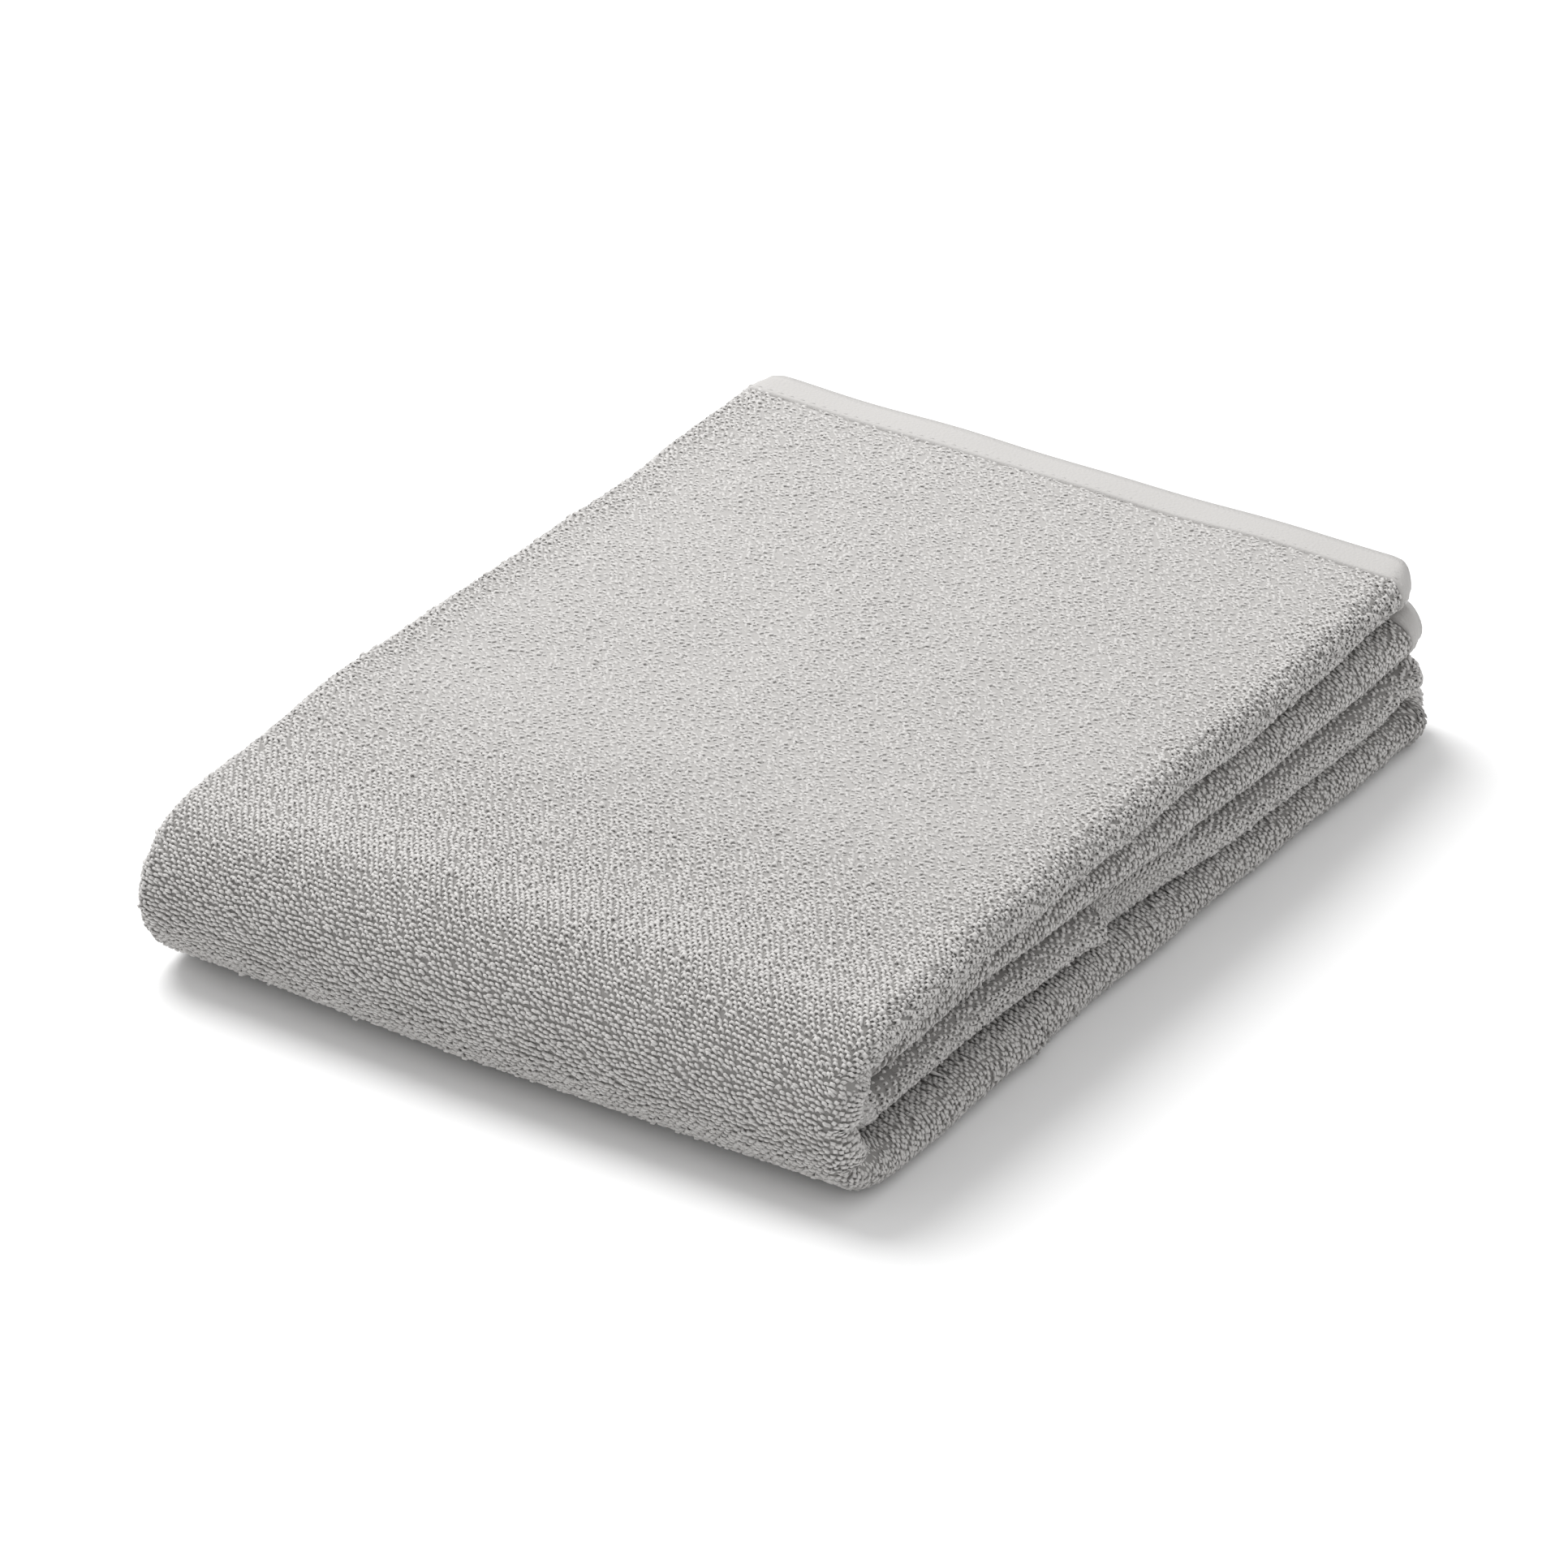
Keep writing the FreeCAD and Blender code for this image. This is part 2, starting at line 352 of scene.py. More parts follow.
def dents(x, y, z):
    """How far the right side is drawn in, most at the surface and not at all DENTED_DEPTH inside."""
    total = HOLLOW_DEPTH * hump(y, HOLLOW_PLACE, HOLLOW_LENGTH) * hump(z, HOLLOW_HEIGHT, HOLLOW_HALF)
    for layer in range(1, LAYERS):
        total += GAP_DEPTH * hump(z, layer * LAYER_PITCH, GAP_HALF)
    for place, height, depth in DENTS:
        step = ramp(y, place - DENT_WIDTH / 2, place + DENT_WIDTH / 2)
        fading = 1 - ramp(y, place, place + DENT_REACH)
        lip = hump(y, place - DENT_WIDTH, 2 * DENT_WIDTH)
        on_ridge = hump(z, height, RIDGE_HALF, RIDGE_SQUARENESS)
        total += depth * (step * fading - DENT_LIP * lip) * on_ridge
    return total * ramp(x, SIDE - DENTED_DEPTH, SIDE)


# %% [markdown]
# ### The pillowy top
# Broad hills, faint streaks where a hand has stroked along the towel, and shallow dips. Each is a
# product of two slow waves, as a share of the stack's height. The small factors set a wave at a slant.

# %% The pillowy top
HILL, HILL_WIDTH, HILL_LENGTH = 0.008, 110 * MM, 150 * MM
STREAK, STREAK_WIDTH, STREAK_LENGTH = 0.004, 46 * MM, 210 * MM
DIP, DIP_WIDTH, DIP_LENGTH = 0.005, 70 * MM, 90 * MM


def pillow(x, y):
    """Gentle hills and hollows of the stack, as a share of its height."""
    hills = wave(x + 0.3 * y, HILL_WIDTH, 0.4) * wave(y, HILL_LENGTH, 1.0)
    streaks = wave(x + 0.12 * y, STREAK_WIDTH, 2.0) * ramp(wave(y, STREAK_LENGTH, 0.6), -0.4, 1.0)
    dips = wave(x - 0.5 * y, DIP_WIDTH, 1.7) * wave(y + 0.2 * x, DIP_LENGTH, 2.6)
    return HILL * hills + STREAK * streaks + DIP * dips


# %% [markdown]
# ### All the moves together
# Drops and rises are shares of the height. A toe pushes the foot of a side out, or draws it in where its
# number is negative. The shoulder leans back, the ridges bulge, the upper layers draw in at the far right,
# and the two far corners are rounded.

# %% Settling
# An end of the packet counts in full from ENDS outward, and not at all within MIDDLE.
ENDS = 175 * MM
MIDDLE = 60 * MM
FRONT_DROP = 0.072
LEFT_DROP = 0.014
NEAR_LEFT_DROP = 0.048
FAR_LEFT_RISE = 0.037
FAR_RIGHT_DROP = 0.020
TOE = 3.2 * MM
LEFT_TOE = -5.4 * MM
FAR_TOE = -1.1 * MM
SIDE_TOE = 1.5 * MM
SHOULDER_BACK = 1.2 * MM
FAR_PULL = 4.0 * MM
BULGE, BULGE_LENGTH, BULGE_HEIGHT = 0.45 * MM, 62 * MM, 23 * MM
BULGE_DEPTH = 25 * MM
CORNER_ROUNDING = 11 * MM
CORNER_PULL = 3.2 * MM


def settle(x, y, z):
    """Moves a place of the neat packet to where it lies in the soft one."""
    left = 1 - ramp(x, -SIDE, 0)
    right = ramp(x, 0, SIDE)
    near = 1 - ramp(y, -ENDS, -MIDDLE)
    far = ramp(y, MIDDLE, ENDS)
    low = 1 - ramp(z / TOP, 0, 1)
    upper = ramp(z, LAYER_PITCH, (LAYERS - 1) * LAYER_PITCH)
    sunk = FRONT_DROP * near + LEFT_DROP * left * (1 - far) + NEAR_LEFT_DROP * near * left
    raised = FAR_LEFT_RISE * far * left - FAR_RIGHT_DROP * far * right
    at_side = ramp(np.abs(x), SIDE - BULGE_DEPTH, SIDE) * np.sign(x)
    bulge = BULGE * at_side * wave(y + 3 * z, BULGE_LENGTH, 0.5) * wave(z, BULGE_HEIGHT, 1.1)
    new_x = x + slip(x, y, z) - dents(x, y, z) + right * (low * SIDE_TOE - far * FAR_PULL * upper) + bulge
    new_y = y - near * low * (TOE + LEFT_TOE * left) + far * low * FAR_TOE
    new_y += near * (1 - low) * SHOULDER_BACK
    corner = ramp(np.abs(x), SIDE - CORNER_ROUNDING, SIDE) * ramp(y, TOP_END - CORNER_ROUNDING, TOP_END)
    new_x -= CORNER_PULL * np.sign(x) * corner
    new_y -= CORNER_PULL * corner
    new_z = z * (1 - sunk + raised + pillow(x, y))
    return new_x, new_y, new_z


# %% The whole folding rule
def fold(flat):
    """Folds places given as (across, along, height off the cloth) into the packet."""
    x, lift, face_x, face_lift = across(flat[:, 0])
    y, z, flap_y, flap_z = along(flat[:, 1])
    high = flat[:, 2]
    reach = lift + high * face_lift
    placed = settle(x + high * face_x, y + reach * flap_y, z + reach * flap_z)
    return np.stack(placed, axis=1)


middle_of_towel = np.array([[TOWEL_WIDTH / 2, TOWEL_LENGTH / 2, 0.0]])
print("the towel's middle lies at, in mm:", (fold(middle_of_towel)[0] / MM).round(1))

# %% [markdown]
# ## Small helpers
# A mesh's places go in and out of Blender as arrays. A piece keeps its flat places in an attribute called
# `flat`, so that the weave in the materials and the bend at the front fold can follow the cloth. The same
# flat places make its UV map: a towel needs no unwrapping, because it was flat to begin with.

# %% Arrays in and out of a mesh
def places_of(mesh):
    """The places of a mesh's vertices, one row each."""
    found = np.empty(len(mesh.vertices) * 3, np.float32)
    mesh.vertices.foreach_get("co", found)
    return found.reshape(-1, 3).astype(float)


def store(mesh, name, kind, values):
    """Keeps one value or vector for each vertex under this name."""
    attribute = mesh.attributes.get(name) or mesh.attributes.new(name, kind, "POINT")
    field = "value" if kind == "FLOAT" else "vector"
    attribute.data.foreach_set(field, np.asarray(values, np.float32).ravel())


# %% Folding a mesh
def map_flat(mesh, flat):
    """Lays the piece's own flat pattern out as its UV map."""
    low, high = flat[:, :2].min(axis=0), flat[:, :2].max(axis=0)
    corners = np.empty(len(mesh.loops), np.int32)
    mesh.loops.foreach_get("vertex_index", corners)
    shares = (flat[corners, :2] - low) / (high - low)
    mesh.uv_layers.new(name="OFBake").data.foreach_set("uv", shares.astype(np.float32).ravel())


def fold_mesh(mesh):
    """Remembers the flat places and folds the mesh."""
    flat = places_of(mesh)
    map_flat(mesh, flat)
    store(mesh, "flat", "FLOAT_VECTOR", flat)
    mesh.vertices.foreach_set("co", fold(flat).astype(np.float32).ravel())
    mesh.update()


# %% Pieces, nodes and colours
def add_piece(name, mesh, material):
    """Links a finished mesh as a smooth-shaded piece of one material."""
    piece = bpy.data.objects.new(name, mesh)
    bpy.context.scene.collection.objects.link(piece)
    mesh.materials.append(material)
    mesh.polygons.foreach_set("use_smooth", [True] * len(mesh.polygons))
    return piece


def add_node(tree, kind, inputs=None, **settings):
    """Adds a node with its settings; inputs are values or other nodes' outputs."""
    node = tree.nodes.new(kind)
    for key, value in settings.items():
        setattr(node, key, value)
    for key, value in (inputs or {}).items():
        if isinstance(value, bpy.types.NodeSocket):
            tree.links.new(value, node.inputs[key])
        else:
            node.inputs[key].default_value = value
    return node


def from_hex(code):
    """An sRGB hex colour as linear RGBA."""
    shades = [int(code[i : i + 2], 16) / 255 for i in (1, 3, 5)]
    return [((c + 0.055) / 1.055) ** 2.4 if c > 0.04045 else c / 12.92 for c in shades] + [1.0]


# %% [markdown]
# ## Materials
# Everything is combed cotton of one light grey, so pile, ground, hem and thread share a hue. Cotton has no
# gloss, so it is very rough and mirrors next to nothing, and loose fibres give a faint pale sheen at grazing
# angles. What tells the parts apart is painted shade: yarn is painted pale at a loop's crown and darker at
# its root, where little light gets in, and the ground between the loops is painted darker still.

# %% Cotton
COTTON_ROUGHNESS = 0.95
COTTON_GLOSS = 0.1
FIBRE_SHEEN = 0.1
FIBRE_SHEEN_ROUGHNESS = 0.6
TINT_RANGE = 0.25
# A mix node has sockets for several kinds of data; these are the numbers of its colour sockets.
MIX_ROOT_SOCKET, MIX_TIP_SOCKET, MIXED_SOCKET = 6, 7, 2


def cotton(name, root, tip, spread, sheen):
    """Cotton whose yarn is pale at the tip, painted darker at the root as shade, and a little different loop
    by loop.
    """
    material = bpy.data.materials.new(name)
    material.use_nodes = True
    tree = material.node_tree
    shader = tree.nodes["Principled BSDF"]
    shader.inputs["Roughness"].default_value = COTTON_ROUGHNESS
    shader.inputs["Specular IOR Level"].default_value = COTTON_GLOSS
    shader.inputs["Sheen Weight"].default_value = sheen
    shader.inputs["Sheen Roughness"].default_value = FIBRE_SHEEN_ROUGHNESS
    # Painted shade: the height attribute mixes from the darker root colour at 0 to the tip colour at 1, and
    # the tint, a random tone, is lowered as painted shade on the pressed pile.
    height = add_node(tree, "ShaderNodeAttribute", attribute_name="height")
    tint = add_node(tree, "ShaderNodeAttribute", attribute_name="tint")
    mix = add_node(tree, "ShaderNodeMix", {"Factor": height.outputs["Fac"]}, data_type="RGBA")
    mix.inputs[MIX_ROOT_SOCKET].default_value = from_hex(root)
    mix.inputs[MIX_TIP_SOCKET].default_value = from_hex(tip)
    value = add_node(
        tree,
        "ShaderNodeMapRange",
        {"Value": tint.outputs["Fac"], "To Min": 1 - spread, "To Max": 1 + spread},
    )
    shift = add_node(
        tree,
        "ShaderNodeHueSaturation",
        {"Value": value.outputs["Result"], "Color": mix.outputs[MIXED_SOCKET]},
    )
    tree.links.new(shift.outputs["Color"], shader.inputs["Base Color"])
    return material


# %% Flat woven cotton
# The hem's threads are about half a millimetre apart, too fine to show, so they are drawn as a soft
# unevenness about twice as coarse.
WEAVE_SCALE = 1.1 * MM
WEAVE_DETAIL = 2.0
WEAVE_STRENGTH = 0.8
WEAVE_RELIEF = 0.35 * MM


def woven(name, colour):
    """Cotton with the fine, soft unevenness of a plain weave."""
    material = cotton(name, colour, colour, 0.0, FIBRE_SHEEN)
    tree = material.node_tree
    flat = add_node(tree, "ShaderNodeAttribute", attribute_name="flat")
    picks = add_node(
        tree,
        "ShaderNodeTexNoise",
        {"Vector": flat.outputs["Vector"], "Scale": 1 / WEAVE_SCALE, "Detail": WEAVE_DETAIL},
    )
    relief = add_node(
        tree,
        "ShaderNodeBump",
        {"Height": picks.outputs["Fac"], "Strength": WEAVE_STRENGTH, "Distance": WEAVE_RELIEF},
    )
    tree.links.new(relief.outputs["Normal"], tree.nodes["Principled BSDF"].inputs["Normal"])
    return material


# %% The four cottons of the towel
# Terry yarn: soft and matt, each loop a little lighter or darker, so the pile looks like many small things.
# Its root colour is painted shade, and the pressed pile is painted a little darker as shade too.
terry = cotton("combed_cotton_terry_painted_shade", "#B4B2B0", "#CBC9C7", TINT_RANGE, FIBRE_SHEEN)
# The ground weave: only glimpsed between loops, it is painted darker than the yarn as the shade in the gaps,
# and a little lighter where the pile is pressed.
ground_cotton_painted_shade = cotton("terry_ground_weave_painted_shade", "#8C8A88", "#ACAAA8", 0.0, 0.0)
# The hem: flat and even, so it catches the light as one pale smooth band.
hem_cotton = woven("flat_woven_cotton", "#B7B5B3")
# Sewing thread: dyed to match, a shade lighter than the hem, so the seam hardly shows.
thread = cotton("cotton_sewing_thread", "#BAB8B6", "#BAB8B6", 0.0, FIBRE_SHEEN)
print("materials:", [material.name for material in (terry, ground_cotton_painted_shade, hem_cotton, thread)])

# %% [markdown]
# ## Where the pile is pressed
# A folded towel is smoothed by hand. On its upper face the loops lie over each other and the rows almost
# disappear, while on the front roll and the sides they stand free. One formula says how far that has gone
# at any flat place, and cloth, loops and their painted shade all follow it, so there is no line between the
# two.

# %% How flat the pile is pressed
PRESS_OVER_EDGE = 18 * MM
PRESS_INSIDE = 20 * MM
PRESS_START = -16 * MM
PRESS_END = 95 * MM


def pressed(flat):
    """0 where the pile stands free, 1 on the upper face of the stack, where hands have smoothed it."""
    behind_fold = LENGTH_MARKS[1] - flat[:, 1]
    from_edge = np.minimum(flat[:, 0] - WIDTH_MARKS[2], WIDTH_MARKS[3] - flat[:, 0])
    return ramp(behind_fold, PRESS_START, PRESS_END) * ramp(from_edge, -PRESS_OVER_EDGE, PRESS_INSIDE)


# %% [markdown]
# ## The ground cloth
# Under the loops lies a plain woven ground that holds their feet. It is made as one flat grid, whose lines
# are closest where the cloth turns, and it is folded as a whole. The cloth is cut once, just before the
# short fold that leads to the second leaf, because a mesh can bend between two bodies only.

# %% A flat grid with chosen lines
LEAST_STEP = 0.4 * MM


def stations(marks, steps, low, high):
    """Places along marks, with this many steps in each stretch, cut to low..high."""
    found = [np.linspace(a, b, n + 1)[:-1] for a, b, n in zip(marks[:-1], marks[1:], steps)]
    found = np.concatenate(found + [[marks[-1]]])
    inside = found[(found > low + LEAST_STEP) & (found < high - LEAST_STEP)]
    return np.concatenate([[low], inside, [high]])


def flat_grid(columns, rows):
    """A grid made by Blender, with its columns and rows moved to the given places."""
    shape = bmesh.new()
    bmesh.ops.create_grid(shape, x_segments=len(columns) - 1, y_segments=len(rows) - 1, size=1)
    mesh = bpy.data.meshes.new("flat_cloth")
    shape.to_mesh(mesh)
    shape.free()
    places = places_of(mesh)
    across_share = (places[:, 0] + 1) / 2 * (len(columns) - 1)
    along_share = (places[:, 1] + 1) / 2 * (len(rows) - 1)
    places[:, 0] = np.interp(across_share, np.arange(len(columns)), columns)
    places[:, 1] = np.interp(along_share, np.arange(len(rows)), rows)
    mesh.vertices.foreach_set("co", places.astype(np.float32).ravel())
    return mesh


# %% A folded strip of cloth
WIDTH_STEPS = [24, 8, 60, 10, 24]
LENGTH_STEPS = [80, 18, 80, 10, 80, 8, 80]
MIDDLE_TINT = 0.5


def cloth_strip(name, width_span, length_span, thickness, material, lifted=0.0):
    """A folded strip; lifted is how much higher it lies where the pile is pressed down on it."""
    columns = stations(WIDTH_MARKS, WIDTH_STEPS, *width_span)
    rows = stations(LENGTH_MARKS, LENGTH_STEPS, *length_span)
    mesh = flat_grid(columns, rows)
    flat = places_of(mesh)
    press = pressed(flat)
    flat[:, 2] = lifted * press
    mesh.vertices.foreach_set("co", flat.astype(np.float32).ravel())
    # Painted shade: on the ground this lightens the shade painted in the gaps where the pile is pressed; a
    # hem's colour stays the same.
    store(mesh, "height", "FLOAT", press)
    store(mesh, "tint", "FLOAT", np.full(len(mesh.vertices), MIDDLE_TINT))
    fold_mesh(mesh)
    piece = add_piece(name, mesh, material)
    body = piece.modifiers.new("cloth thickness", "SOLIDIFY")
    body.thickness = thickness
    body.offset = 0
    return piece


# %% The ground cloth in two lengths
# Where the pile is pressed, the loops sink into their own feet: the ground is lifted towards them a little.
GROUND_THICKNESS = 2.2 * MM
GROUND_LIFT = 0.23 * MM
BLEND_SPREAD = 14 * MM
INNER_SPLIT = LENGTH_MARKS[5] - BLEND_SPREAD
OUTER_LENGTH = (END_HEM, INNER_SPLIT)
INNER_LENGTH = (INNER_SPLIT, TOWEL_LENGTH - END_HEM)
BODY_WIDTH = (SIDE_HEM, TOWEL_WIDTH - SIDE_HEM)
outer_cloth = cloth_strip(
    "terry_cloth", BODY_WIDTH, OUTER_LENGTH, GROUND_THICKNESS, ground_cotton_painted_shade, GROUND_LIFT
)
inner_cloth = cloth_strip(
    "terry_cloth_second_leaf", BODY_WIDTH, INNER_LENGTH, GROUND_THICKNESS, ground_cotton_painted_shade
)
print("ground cloth faces:", len(outer_cloth.data.polygons), "+", len(inner_cloth.data.polygons))

# %% [markdown]
# ## Hems
# Both ends of the towel are turned in and stitched as a flat woven band without loops. The long sides have
# a narrower hem, which the letter fold hides inside the packet. All are strips of the same folding rule.

# %% Hem bands
# An end hem is a quarter thicker than a side hem.
HEM_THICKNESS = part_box("top_left_side_hem")[1].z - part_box("top_left_side_hem")[0].z
END_BAND_THICKNESS = 1.25 * HEM_THICKNESS
FULL_WIDTH = (0.0, TOWEL_WIDTH)
TOP_HEM_SPAN = (0.0, END_HEM)
SECOND_HEM_SPAN = (TOWEL_LENGTH - END_HEM, TOWEL_LENGTH)
top_hem = cloth_strip("top_end_hem_band", FULL_WIDTH, TOP_HEM_SPAN, END_BAND_THICKNESS, hem_cotton)
second_hem = cloth_strip("second_end_hem_band", FULL_WIDTH, SECOND_HEM_SPAN, END_BAND_THICKNESS, hem_cotton)

# %% Side hem bands
HEM_SIDES = {"left": (0.0, SIDE_HEM), "right": (TOWEL_WIDTH - SIDE_HEM, TOWEL_WIDTH)}
outer_side_hems = {}
inner_side_hems = {}
for side, span in HEM_SIDES.items():
    outer_side_hems[side] = cloth_strip(
        side + "_side_hem_band", span, OUTER_LENGTH, HEM_THICKNESS, hem_cotton
    )
    inner_side_hems[side] = cloth_strip(
        side + "_side_hem_band_second_leaf", span, INNER_LENGTH, HEM_THICKNESS, hem_cotton
    )
print("end hem", round(END_HEM / MM, 1), "mm wide, side hem", round(SIDE_HEM / MM, 1), "mm wide")

# %% [markdown]
# ## One loop of yarn
# Terry pile is a row of yarn loops whose feet are caught in the ground, so each loop is a small arch in
# the plane of its row. One arch is spun from a tiny circle and then repeated by the thousand. It has only
# a few faces: a loop is about two millimetres wide, and its smooth shading does the rest. Yarn with so few
# sides would look thin, so it is widened until its section is as large as a round one.

# %% Loop shapes
YARN_RADIUS = 0.40 * MM
LOOP_HALF_WIDTH = 0.78 * MM
LOOP_STRETCH = 1.2
PILE_TOP = PLY / 2


def hidden_object(name, shape):
    """A mesh to be planted; it isn't linked to the scene, so it never shows by itself."""
    bmesh.ops.recalc_face_normals(shape, faces=shape.faces[:])
    mesh = bpy.data.meshes.new(name)
    shape.to_mesh(mesh)
    shape.free()
    return bpy.data.objects.new(name, mesh)


def loop_of_yarn(name, steps, sides):
    """Half a ring of yarn, with its feet in the ground and its crown at the pile's height."""
    shape = bmesh.new()
    as_full_as_round = math.sqrt(2 * math.pi / (sides * math.sin(2 * math.pi / sides)))
    radius = YARN_RADIUS * as_full_as_round
    ring = bmesh.ops.create_circle(shape, segments=sides, radius=radius, cap_ends=False)
    bmesh.ops.translate(shape, verts=ring["verts"], vec=(LOOP_HALF_WIDTH, 0, 0))
    bmesh.ops.spin(
        shape, geom=shape.edges[:], cent=(0, 0, 0), axis=(0, -1, 0), angle=math.pi, steps=steps
    )
    bmesh.ops.scale(shape, verts=shape.verts[:], vec=(1, 1, LOOP_STRETCH))
    crown = max(v.co.z for v in shape.verts)
    bmesh.ops.translate(shape, verts=shape.verts[:], vec=(0, 0, PILE_TOP - crown))
    return hidden_object(name, shape)


round_loop = loop_of_yarn("round_loop", steps=3, sides=4)
fine_loop = loop_of_yarn("fine_loop", steps=3, sides=3)
plain_loop = loop_of_yarn("plain_loop", steps=2, sides=3)
print("faces of a loop:", [len(loop.data.polygons) for loop in (round_loop, fine_loop, plain_loop)])

# %% [markdown]
# ## Planting
# A small node tree stands one loop on every point of a flat seedbed, turned and sized by the point's own
# attributes, and makes the result a real mesh. Only then is the mesh folded, so every loop bends with the
# cloth. Where a fold stretches the cloth, the seeds stand closer and the loops are made narrower, so that
# they come out evenly.

# %% Node tree for planting
def planting(loop):
    """A node tree that stands the loop on every point and makes the result real."""
    tree = bpy.data.node_groups.new("plant_" + loop.name, "GeometryNodeTree")
    tree.interface.new_socket("Geometry", in_out="INPUT", socket_type="NodeSocketGeometry")
    tree.interface.new_socket("Geometry", in_out="OUTPUT", socket_type="NodeSocketGeometry")
    entry = add_node(tree, "NodeGroupInput")
    info = add_node(tree, "GeometryNodeObjectInfo", {"Object": loop, "As Instance": True})
    turn = add_node(tree, "GeometryNodeInputNamedAttribute", {"Name": "turn"}, data_type="FLOAT_VECTOR")
    size = add_node(tree, "GeometryNodeInputNamedAttribute", {"Name": "size"}, data_type="FLOAT_VECTOR")
    spin = add_node(tree, "FunctionNodeEulerToRotation", {"Euler": turn.outputs["Attribute"]})
    plant = add_node(
        tree,
        "GeometryNodeInstanceOnPoints",
        {
            "Points": entry.outputs["Geometry"],
            "Instance": info.outputs["Geometry"],
            "Rotation": spin.outputs["Rotation"],
            "Scale": size.outputs["Attribute"],
        },
    )
    real = add_node(tree, "GeometryNodeRealizeInstances", {"Geometry": plant.outputs["Instances"]})
    add_node(tree, "NodeGroupOutput", {"Geometry": real.outputs["Geometry"]})
    return tree


trees = {loop.name: planting(loop) for loop in (round_loop, fine_loop, plain_loop)}
print("nodes in a planting tree:", len(trees["round_loop"].nodes))


# %% Planting and folding
# A loop's colour is painted with shade over this share of its height, from the root up.
PAINTED_SHADE_SHARE = 0.4


def grow(name, seeds, turn, size, tint, loop, tree, material):
    """Plants one loop on each seed and folds the lot."""
    shape = bmesh.new()
    for seed in seeds:
        shape.verts.new(seed)
    bed = bpy.data.meshes.new("seedbed")
    shape.to_mesh(bed)
    shape.free()
    store(bed, "turn", "FLOAT_VECTOR", turn)
    store(bed, "size", "FLOAT_VECTOR", size)
    store(bed, "tint", "FLOAT", tint)
    seedbed = bpy.data.objects.new("seedbed", bed)
    bpy.context.scene.collection.objects.link(seedbed)
    seedbed.modifiers.new("plant", "NODES").node_group = tree
    depsgraph = bpy.context.evaluated_depsgraph_get()
    grown = bpy.data.meshes.new_from_object(seedbed.evaluated_get(depsgraph), depsgraph=depsgraph)
    bpy.data.objects.remove(seedbed)
    flat = places_of(grown)
    # Painted shade: the yarn's colour darkens from this height down to the root, except where the pile is
    # pressed.
    root = GROUND_THICKNESS / 2
    height = ramp(flat[:, 2], root, root + PAINTED_SHADE_SHARE * (PILE_TOP - root))
    store(grown, "height", "FLOAT", np.maximum(height, pressed(flat)))
    fold_mesh(grown)
    grown.materials.clear()
    return add_piece(name, grown, material)


# %% [markdown]
# ## Seeds in rows
# The loops stand in straight rows across the towel, each row half a step aside from the last, like bricks.
# The rows are spaced for where the folded cloth has most room. Where it has much less, as inside a fold,
# whole rows are left out.

# %% Even spacing on folded cloth
LOOP_PITCH = 2.1 * MM
ROW_PITCH = 1.55 * MM
PROBE = 0.05 * MM
LEAST_STRETCH = 1.0
FINE_STEPS = 800


def stretch(flat, axis):
    """How much longer the pile's crown becomes on folding, at each place, along one axis."""
    before, after = flat.copy(), flat.copy()
    before[:, axis] -= PROBE
    after[:, axis] += PROBE
    rate = np.linalg.norm(fold(after) - fold(before), axis=1) / (2 * PROBE)
    return np.clip(rate, LEAST_STRETCH, None)


def spaced(span, pitch, rate):
    """Places in the span that come out one pitch apart once folded."""
    fine = np.linspace(span[0], span[1], FINE_STEPS)
    run = np.concatenate([[0], np.cumsum((rate(fine)[1:] + rate(fine)[:-1]) / 2 * np.diff(fine))])
    count = max(2, round(run[-1] / pitch))
    return np.interp((np.arange(count) + 0.5) / count * run[-1], run, fine)


def crown(across_places, along_places):
    """Flat places at the height of the pile's crown."""
    across_places, along_places = np.broadcast_arrays(across_places, along_places)
    return np.stack([across_places, along_places, np.full(across_places.shape, PILE_TOP)], axis=1)


# %% Rows of seeds
# Every second row stands half a step aside, and each row has drifted a little by itself.
LENGTH_PROBES = 60
BRICK_STEP = 0.5
ROW_DRIFT = 0.07


def seed_rows(width_span, length_span, random, coarser):
    """Flat places of all loops in a patch; coarser than one plants fewer, larger ones."""
    middle = np.array([sum(length_span) / 2])
    columns = spaced(width_span, LOOP_PITCH * coarser, lambda s: stretch(crown(s, middle), 0))
    probes = np.linspace(length_span[0], length_span[1], LENGTH_PROBES)
    length_of = np.array([stretch(crown(np.array([s]), probes), 1).mean() for s in columns])
    widest = np.array([columns[length_of.argmax()]])
    rows = spaced(length_span, ROW_PITCH * coarser, lambda t: stretch(crown(widest, t), 1))
    skip = np.maximum(1, np.round(length_of.max() / length_of)).astype(int)
    across_places, along_places = (grid.ravel() for grid in np.meshgrid(columns, rows))
    row_number = np.repeat(np.arange(len(rows)), len(columns))
    kept = row_number % np.tile(skip, len(rows)) == 0
    step = np.gradient(columns)
    aside = (row_number % 2 - 0.5) * BRICK_STEP * np.tile(step, len(rows))
    drift = random.normal(0, ROW_DRIFT, len(rows))[row_number] * np.tile(step, len(rows))
    return crown(across_places + aside + drift, along_places)[kept]


# %% [markdown]
# ## How a loop stands
# No two loops stand alike. Each has its own lean, twist, width and height, drawn at random around a middle
# value. The pairs are for the free pile and for the pressed pile, with angles in radians and sizes as
# shares of the loop. A few loops of the free pile stand proud, as pulled ones do.

